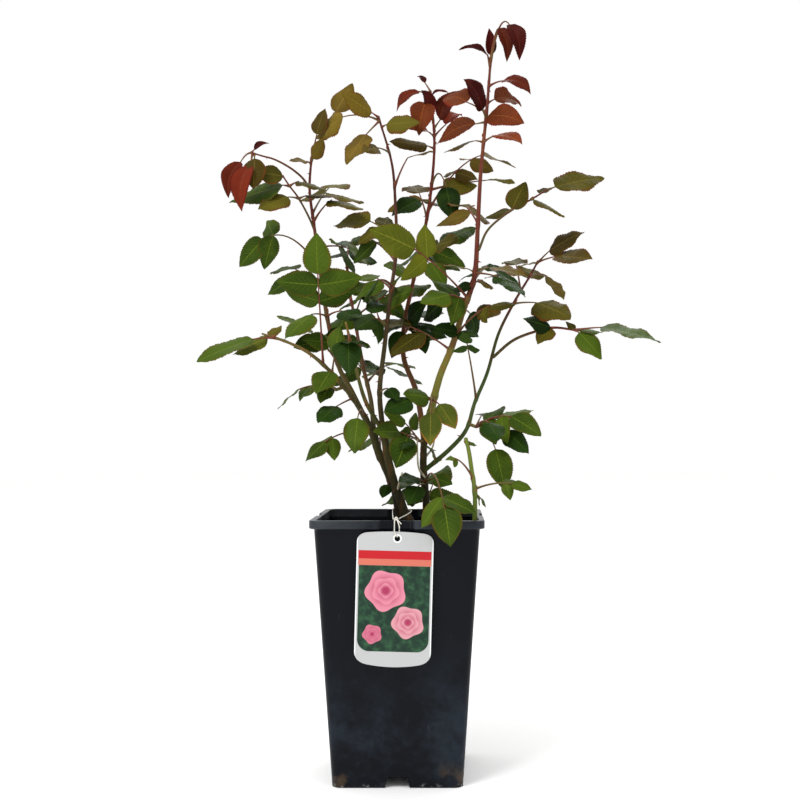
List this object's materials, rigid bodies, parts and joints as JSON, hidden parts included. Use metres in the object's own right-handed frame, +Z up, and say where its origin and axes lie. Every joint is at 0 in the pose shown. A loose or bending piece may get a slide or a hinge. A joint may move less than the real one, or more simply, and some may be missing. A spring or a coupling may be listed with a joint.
{
  "type": "potted rose bush",
  "caption": "Rose bush with slender arching canes and toothed compound leaves, bronze at the tips, in a tapering square nursery pot with a hanging card.",
  "frame": {"origin": "centre of the whole part's box in plan, at the level of the pot's underside", "axes": "+Z up, +X to the right as seen from the card's side, the card's face towards -Y"},
  "size_m": [0.4528, 0.2958, 0.748],
  "materials": {
    "pot": "smooth blue-black moulded plastic, satin, dusty low down",
    "potting_mix": "dark moist potting mix with bark crumbs, matt",
    "card": "thin printed plastic card, pale with plain red bars and flowers",
    "tie": "off-white twisted tie",
    "cane_bark": "brown-green ridged bark, matt",
    "cane_green": "smooth green cane, half matt",
    "cane_maroon": "smooth maroon young cane, half matt",
    "leaf_green": "glossy dark green rose leaf, paler below",
    "leaf_young": "olive green leaf with reddish margins",
    "leaf_bronze": "young bronze-red leaf, satin"
  },
  "bodies": {
    "root": {"pot": "pot", "potting_mix": "potting_mix", "card": "card", "tie": "tie", "main_stem": "cane_bark", "twin_stem": "cane_bark", "second_stem": "cane_bark", "left_arch": "cane_bark", "left_tall": "cane_maroon", "left_twig": "cane_maroon", "left_side_twig": "cane_maroon", "inner_left": "cane_green", "inner_mid": "cane_maroon", "centre": "cane_green", "red_top": "cane_maroon", "tall_right": "cane_green", "right_side_twig": "cane_maroon", "right_slender": "cane_green", "right_arch": "cane_maroon", "water_shoot": "cane_green", "main_stem_spray_1": "leaf_green", "main_stem_spray_2": "leaf_green", "main_stem_spray_3": "leaf_green", "second_stem_spray_1": "leaf_green", "second_stem_spray_2": "leaf_green", "second_stem_spray_3": "leaf_green", "left_arch_leaves": "leaf_green", "left_arch_spray_1": "leaf_green", "left_arch_spray_2": "leaf_green", "left_arch_spray_3": "leaf_green", "left_arch_spray_4": "leaf_green", "left_arch_spray_5": "leaf_green", "left_tall_leaves": "leaf_young", "left_tall_spray_1": "leaf_green", "left_tall_spray_2": "leaf_green", "left_twig_leaves": "leaf_bronze", "left_side_twig_leaves": "leaf_young", "inner_left_leaves": "leaf_green", "inner_mid_leaves": "leaf_young", "inner_mid_spray_1": "leaf_green", "centre_leaves": "leaf_green", "centre_spray_1": "leaf_green", "centre_spray_2": "leaf_green", "red_top_leaves": "leaf_bronze", "red_top_spray_1": "leaf_green", "red_top_spray_2": "leaf_green", "tall_right_leaves": "leaf_young", "tall_right_spray_1": "leaf_green", "tall_right_spray_2": "leaf_green", "tall_right_spray_3": "leaf_green", "tall_right_spray_4": "leaf_green", "right_side_twig_leaves": "leaf_young", "right_slender_leaves": "leaf_young", "right_slender_spray_1": "leaf_green", "right_slender_spray_2": "leaf_green", "right_slender_spray_3": "leaf_green", "right_arch_leaves": "leaf_young", "water_shoot_leaves": "leaf_green"}
  },
  "joints": []
}
